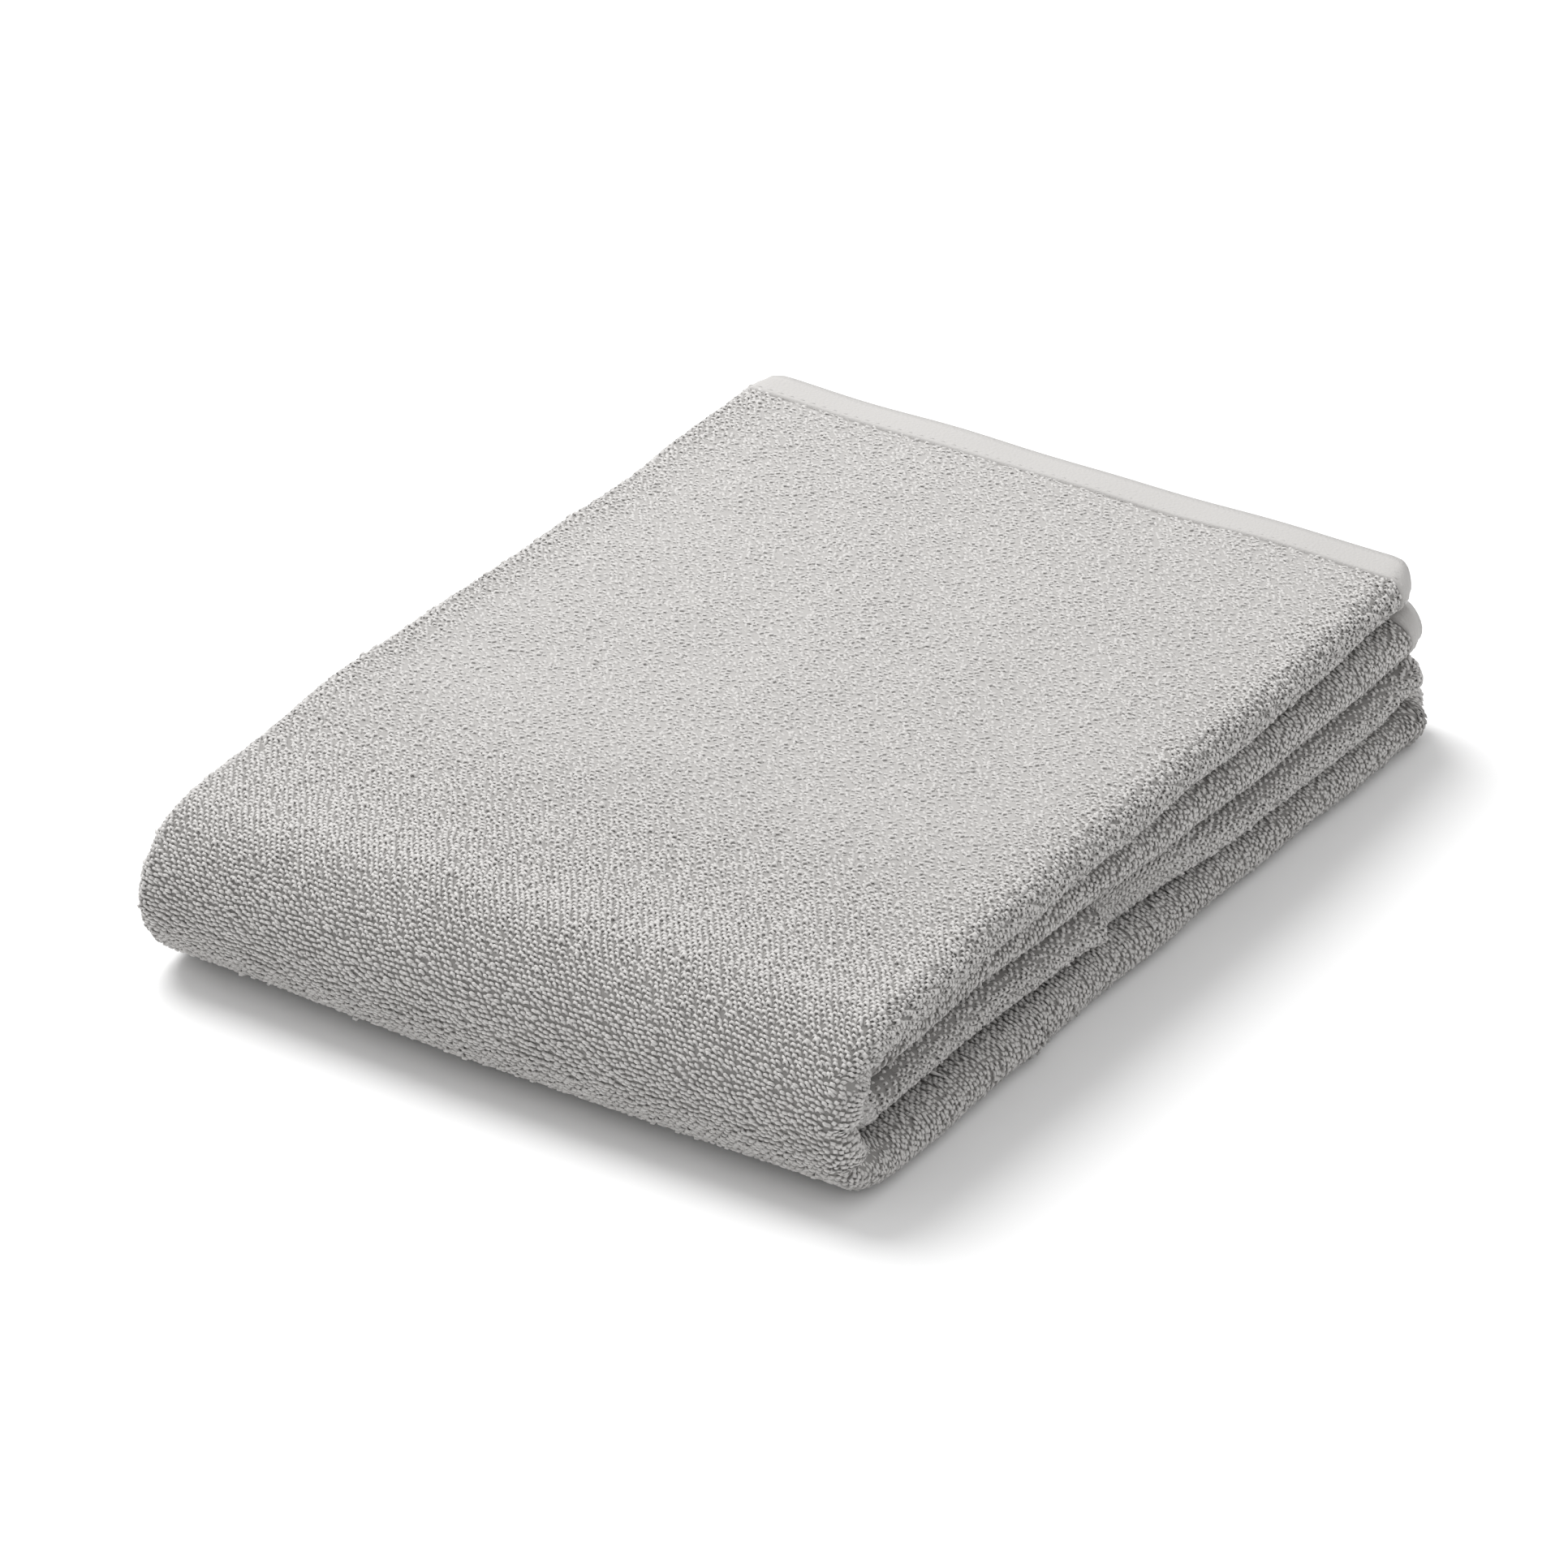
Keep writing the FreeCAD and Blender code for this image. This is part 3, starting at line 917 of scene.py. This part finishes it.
# %% Lean, twist, size, tint and painted shade of the loops
LEAN = (0.62, 0.35)
LEAN_SPREAD = (0.14, 0.30)
TIP_SPREAD = 0.12
YAW = (0.18, 0.04)
YAW_SPREAD = (0.13, 0.48)
WIDE = (1.04, 1.16)
THICK = (1.06, 1.50)
SIZE_SPREAD = 0.08
HIGH = (1.04, 0.77)
HIGH_SPREAD = 0.05
LOWEST = 0.6
HIGHEST = 1.25
PROUD_SHARE = 0.05
PROUD_EXTRA = (0.1, 0.4)
# The tint's middle value: random tone on the free pile, lowered on the pressed pile as painted shade of the
# stack's upper face.
TINT_AND_PRESSED_SHADE = (0.5, 0.32)
TINT_SPREAD = 0.045
FAR_FLUFF = 0.45
RIM_LENGTH = 12 * MM
RIM_INSIDE = 6 * MM
RIM_OUTSIDE = 4 * MM


def between(pair, press):
    """The value for the free pile, the pressed pile, or anything between."""
    free, flat = pair
    return free + (flat - free) * press


def fluffy(places):
    """1 on the rim of the far fold at the right, where nothing presses the pile."""
    fold_start, fold_end, edge = LENGTH_MARKS[3], LENGTH_MARKS[4], WIDTH_MARKS[3]
    around_far = ramp(places[:, 1], fold_start - RIM_LENGTH, fold_start)
    around_far *= 1 - ramp(places[:, 1], fold_end, fold_end + RIM_LENGTH)
    return around_far * ramp(places[:, 0], edge - RIM_INSIDE, edge + RIM_OUTSIDE)


# %% A patch of pile
# Loops stray from their rows by a share of the pitch, more where the pile is pressed, and the rows sway.
STRAY_ACROSS = (0.07, 0.17)
STRAY_ALONG = (0.05, 0.21)
SWAY = 0.30 * MM
SWAY_WIDTH, SWAY_LENGTH, SWAY_SLANT = 19 * MM, 31 * MM, 47 * MM


def loop_patch(name, width_span, length_span, loop, coarser, seed):
    """Seeds one patch in rows, gives every loop its own stand, and grows it."""
    random = np.random.default_rng(seed)
    places = seed_rows(width_span, length_span, random, coarser)
    count = len(places)
    press = pressed(places)
    wide_rate, long_rate = stretch(places, 0), stretch(places, 1)
    sway = wave(places[:, 0], SWAY_WIDTH, 0.3) * wave(places[:, 1], SWAY_LENGTH, 1.0)
    sway += wave(places[:, 0] + places[:, 1], SWAY_SLANT, 2.0)
    stray_across = random.normal(0, between(STRAY_ACROSS, press)) * LOOP_PITCH
    stray_along = random.normal(0, between(STRAY_ALONG, press)) * ROW_PITCH
    places[:, 0] += stray_across / wide_rate
    places[:, 1] += (stray_along + SWAY * sway) / long_rate
    places[:, 2] = 0
    lean = random.normal(between(LEAN, press), between(LEAN_SPREAD, press))
    tip = random.normal(0, TIP_SPREAD, count)
    yaw = random.normal(between(YAW, press), between(YAW_SPREAD, press))
    wide = random.normal(between(WIDE, press), SIZE_SPREAD)
    thick = random.normal(between(THICK, press), SIZE_SPREAD)
    proud = (random.random(count) < PROUD_SHARE) * random.uniform(*PROUD_EXTRA, count)
    high = random.normal(between(HIGH, press), HIGH_SPREAD).clip(LOWEST, HIGHEST)
    high = high + (1 - press) * proud + FAR_FLUFF * fluffy(places)
    turn = np.stack([lean, tip, yaw], axis=1)
    size = np.stack([coarser * wide / wide_rate, coarser * thick / long_rate, high], axis=1)
    # Random tone for each loop, darker on the pressed pile as painted shade.
    tint = np.clip(random.normal(between(TINT_AND_PRESSED_SHADE, press), TINT_SPREAD), 0, 1)
    return grow(name, places, turn, size, tint, loop, trees[loop.name], terry)


# %% [markdown]
# ## Zones of pile
# The towel is planted in zones: three across, one for each side of the packet and one for the face between,
# and seven along, one for each layer and fold. Inside the letter fold no loop can be seen, so none is
# planted there beyond a margin. Where layers face each other the loops are planted coarser, because they
# show only when the leaves are open, and so are those underneath, which don't show at all.

# %% The zones
# The setback is negative: the pile reaches a little over the hem. The spread is how far a fold's pile, and
# its bend, run on into the layers beside it.
MARGIN = 16 * MM
PILE_SETBACK = -0.4 * MM
FOLD_SPREAD = 16 * MM
width_zones = {
    "left": (WIDTH_MARKS[1] - MARGIN, WIDTH_MARKS[2]),
    "panel": (WIDTH_MARKS[2], WIDTH_MARKS[3]),
    "right": (WIDTH_MARKS[3], WIDTH_MARKS[4] + MARGIN),
}
length_zones = {
    "top": (END_HEM + PILE_SETBACK, LENGTH_MARKS[1] - FOLD_SPREAD),
    "front": (LENGTH_MARKS[1] - FOLD_SPREAD, LENGTH_MARKS[2] + FOLD_SPREAD),
    "bottom": (LENGTH_MARKS[2] + FOLD_SPREAD, LENGTH_MARKS[3]),
    "far": (LENGTH_MARKS[3], LENGTH_MARKS[4]),
    "third": (LENGTH_MARKS[4], INNER_SPLIT),
    "inner": (INNER_SPLIT, LENGTH_MARKS[6] + FOLD_SPREAD),
    "second": (LENGTH_MARKS[6] + FOLD_SPREAD, TOWEL_LENGTH - END_HEM - PILE_SETBACK),
}
COARSER = {"bottom": 1.4, "third": 1.3, "second": 1.3}


def loop_for(stretch_name, zone):
    """Rounder loops where they are seen from close by, plainer ones where they hardly show."""
    if stretch_name in ("top", "front") and zone == "panel":
        return round_loop
    if zone == "right" or stretch_name in ("top", "front"):
        return fine_loop
    return plain_loop


print("zones of pile:", len(width_zones), "across,", len(length_zones), "along")

# %% Planting all zones
# A zone is cut into parts, so that no single piece grows too large.
MOST_TRIANGLES = 185000
pile = {}
seed = 0
total = 0
for stretch_name, span in length_zones.items():
    pile[stretch_name] = []
    for zone, width_span in width_zones.items():
        loop = loop_for(stretch_name, zone)
        loop_triangles = 2 * len(loop.data.polygons)
        coarser = 1.0 if zone == "right" else COARSER.get(stretch_name, 1.0)
        planned = len(seed_rows(width_span, span, np.random.default_rng(0), coarser))
        parts = math.ceil(planned * loop_triangles / MOST_TRIANGLES)
        cuts = np.linspace(span[0], span[1], parts + 1)
        for part in range(parts):
            seed += 1
            name = f"{stretch_name}_{zone}_loops_{part + 1}"
            piece = loop_patch(name, width_span, (cuts[part], cuts[part + 1]), loop, coarser, seed)
            pile[stretch_name].append(piece)
            total += len(piece.data.polygons) * 2
print("triangles in the pile:", total)

# %% [markdown]
# ## Stitches
# A line of machine stitches holds each hem down, on both faces. Each stitch is a small flattened capsule of
# thread that sinks a little into the band. They are planted and folded like the loops.

# %% One stitch
STITCH_LENGTH = 3.0 * MM
STITCH_PITCH = 4.2 * MM
THREAD_WIDTH = 0.7 * MM
THREAD_HEIGHT = 0.35 * MM
SEAM_INSET = 2.5 * MM


def stitch_shape():
    """A small capsule of thread, lying along the row."""
    shape = bmesh.new()
    bmesh.ops.create_icosphere(shape, subdivisions=1, radius=0.5)
    bmesh.ops.scale(shape, verts=shape.verts[:], vec=(STITCH_LENGTH, THREAD_WIDTH, 2 * THREAD_HEIGHT))
    return hidden_object("stitch", shape)


stitch = stitch_shape()
trees["stitch"] = planting(stitch)
print("faces of a stitch:", len(stitch.data.polygons))


# %% A line of stitches
def stitch_line(name, start, end, half_thickness):
    """Stitches between two flat places, on both faces of the band."""
    start, end = np.array(start), np.array(end)
    axis = int(abs(end[1] - start[1]) > abs(end[0] - start[0]))
    fixed = np.array([start[1 - axis]])
    if axis:
        places = spaced((start[1], end[1]), STITCH_PITCH, lambda t: stretch(crown(fixed, t), 1))
        seeds = crown(fixed, places)
    else:
        places = spaced((start[0], end[0]), STITCH_PITCH, lambda s: stretch(crown(s, fixed), 0))
        seeds = crown(places, fixed)
    rate = stretch(seeds, axis)
    size = np.stack([1 / rate, np.ones_like(rate), np.ones_like(rate)], axis=1)
    turn = np.tile([0, 0, axis * math.pi / 2], (2 * len(seeds), 1))
    seeds[:, 2] = half_thickness - THREAD_HEIGHT / 2
    both = np.concatenate([seeds, seeds * [1, 1, -1]])
    tint = np.full(len(both), MIDDLE_TINT)
    return grow(name, both, turn, np.tile(size, (2, 1)), tint, stitch, trees["stitch"], thread)


# %% All the seams
top_row = END_HEM - SEAM_INSET
second_row = TOWEL_LENGTH - top_row
top_stitches = stitch_line("top_end_stitches", (0, top_row), (TOWEL_WIDTH, top_row), END_BAND_THICKNESS / 2)
second_stitches = stitch_line(
    "second_end_stitches", (0, second_row), (TOWEL_WIDTH, second_row), END_BAND_THICKNESS / 2
)
side_rows = {"left": SIDE_HEM - SEAM_INSET, "right": TOWEL_WIDTH - SIDE_HEM + SEAM_INSET}
outer_side_stitches = {}
inner_side_stitches = {}
for side, place in side_rows.items():
    name = side + "_side_stitches"
    outer_ends = [(place, along_towel) for along_towel in OUTER_LENGTH]
    inner_ends = [(place, along_towel) for along_towel in INNER_LENGTH]
    outer_side_stitches[side] = stitch_line(name, *outer_ends, HEM_THICKNESS / 2)
    inner_side_stitches[side] = stitch_line(name + "_second_leaf", *inner_ends, HEM_THICKNESS / 2)
seams = [top_stitches, second_stitches, *outer_side_stitches.values(), *inner_side_stitches.values()]
print("faces of all stitches:", sum(len(seam.data.polygons) for seam in seams))

# %% [markdown]
# ## What each piece belongs to
# The lower half lies still.

# %% Bending between two bodies
def flat_along(piece):
    """How far along the flat towel each place of the piece lies."""
    flat = np.empty(len(piece.data.vertices) * 3, np.float32)
    piece.data.attributes["flat"].data.foreach_get("vector", flat)
    return flat.reshape(-1, 3)[:, 1].astype(float)


def bend(piece, leaf, share_of):
    """Lets a piece bend between the lower half and a leaf by its own share of the turn."""
    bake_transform(piece, "lower_half", leaf, start=(0, FRONT, 0), end=(0, FRONT, TOP))
    store(piece.data, "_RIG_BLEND", "FLOAT", share_of(flat_along(piece)))


def top_share(t):
    """1 in the top leaf, 0 in the lower half, smooth around the front fold between them."""
    return 1 - ramp(t, LENGTH_MARKS[1] - FOLD_SPREAD, LENGTH_MARKS[2] + FOLD_SPREAD)


def second_share(t):
    """0 in the lower half, 1 in the second leaf, smooth around the short fold."""
    return ramp(t, INNER_SPLIT, LENGTH_MARKS[6] + FOLD_SPREAD)


# %% The pile and the two cloths
bends = {"front": ("top_leaf", top_share), "inner": ("second_leaf", second_share)}
rides = {"top": "top_leaf", "second": "second_leaf"}
for stretch_name, pieces in pile.items():
    for piece in pieces:
        if stretch_name in bends:
            bend(piece, *bends[stretch_name])
        else:
            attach(piece, rides.get(stretch_name, "lower_half"))

bend(outer_cloth, "top_leaf", top_share)
bend(inner_cloth, "second_leaf", second_share)
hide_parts("top_layer", "outer_front_fold", "bottom_layer", "far_fold", "third_layer")
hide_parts("inner_front_fold", "second_layer")

# %% End hems and their seams
leaf_ends = (
    (top_hem, top_stitches, "top_leaf", "top"),
    (second_hem, second_stitches, "second_leaf", "second"),
)
for band, stitches, leaf, end in leaf_ends:
    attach(band, leaf)
    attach(stitches, leaf)
    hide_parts(end + "_end_hem")
    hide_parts(end + "_end_stitching")

# %% Side hems, their seams, and the two sheets
side_sets = (
    (outer_cloth, outer_side_hems, outer_side_stitches, ("top", "outer_fold", "lower")),
    (inner_cloth, inner_side_hems, inner_side_stitches, ("inner_fold", "second")),
)
side_bends = (("top_leaf", top_share), ("second_leaf", second_share))
side_lengths = (OUTER_LENGTH, INNER_LENGTH)
for (cloth, bands, stitch_rows, stretches), bend_of, span in zip(side_sets, side_bends, side_lengths):
    for side in HEM_SIDES:
        bend(bands[side], *bend_of)
        bend(stitch_rows[side], *bend_of)
        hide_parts(*[f"{part}_{side}_side_hem" for part in stretches])
        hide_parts(*[f"{part}_{side}_side_seam" for part in stretches])
print("pieces of pile:", {stretch_name: len(pieces) for stretch_name, pieces in pile.items()})

# %% [markdown]
# ## Table and light
# A matt white table and one large soft lamp, high up to the left and a little behind the towel, with a
# bright white room that fills the shadows.

# %% Table
# A matt paint: it takes soft shadows and gives a little light back to the lower plies, without any gloss.
TABLE_HALF = 4
TABLE_COLOUR = "#F6F6F6"
TABLE_ROUGHNESS = 0.9

floor_shape = bmesh.new()
bmesh.ops.create_grid(floor_shape, x_segments=1, y_segments=1, size=TABLE_HALF)
floor_mesh = bpy.data.meshes.new("table")
floor_shape.to_mesh(floor_mesh)
floor_shape.free()
floor = bpy.data.objects.new("table", floor_mesh)
bpy.context.scene.collection.objects.link(floor)
floor_paint = bpy.data.materials.new("matt_white_table")
floor_paint.use_nodes = True
floor_shader = floor_paint.node_tree.nodes["Principled BSDF"]
floor_shader.inputs["Base Color"].default_value = from_hex(TABLE_COLOUR)
floor_shader.inputs["Roughness"].default_value = TABLE_ROUGHNESS
floor_mesh.materials.append(floor_paint)
print("table:", 2 * TABLE_HALF, "m square, colour", TABLE_COLOUR)

# %% Light
# The lamp is large, so the shadows under the loops and around the towel have soft edges.
ROOM_STRENGTH = 0.75
LAMP_PLACE = (-1.08, 0.36, 1.62)
LAMP_SIZE = 1.4
LAMP_POWER = 38

world = bpy.data.worlds.new("studio")
bpy.context.scene.world = world
world.use_nodes = True
room = world.node_tree.nodes["Background"]
room.inputs["Color"].default_value = (1, 1, 1, 1)
room.inputs["Strength"].default_value = ROOM_STRENGTH


def softbox(name, place, size, power):
    """A round area lamp that looks at the towel."""
    light = bpy.data.lights.new(name, "AREA")
    light.shape = "DISK"
    light.size = size
    light.energy = power
    lamp = bpy.data.objects.new(name, light)
    lamp.location = place
    lamp.rotation_euler = Vector(place).to_track_quat("Z", "Y").to_euler()
    bpy.context.scene.collection.objects.link(lamp)


softbox("key_softbox", LAMP_PLACE, LAMP_SIZE, LAMP_POWER)
bpy.context.scene.view_settings.view_transform = "Standard"
print("lamp", LAMP_SIZE, "m wide at", LAMP_PLACE, "with", LAMP_POWER, "W, room strength", ROOM_STRENGTH)
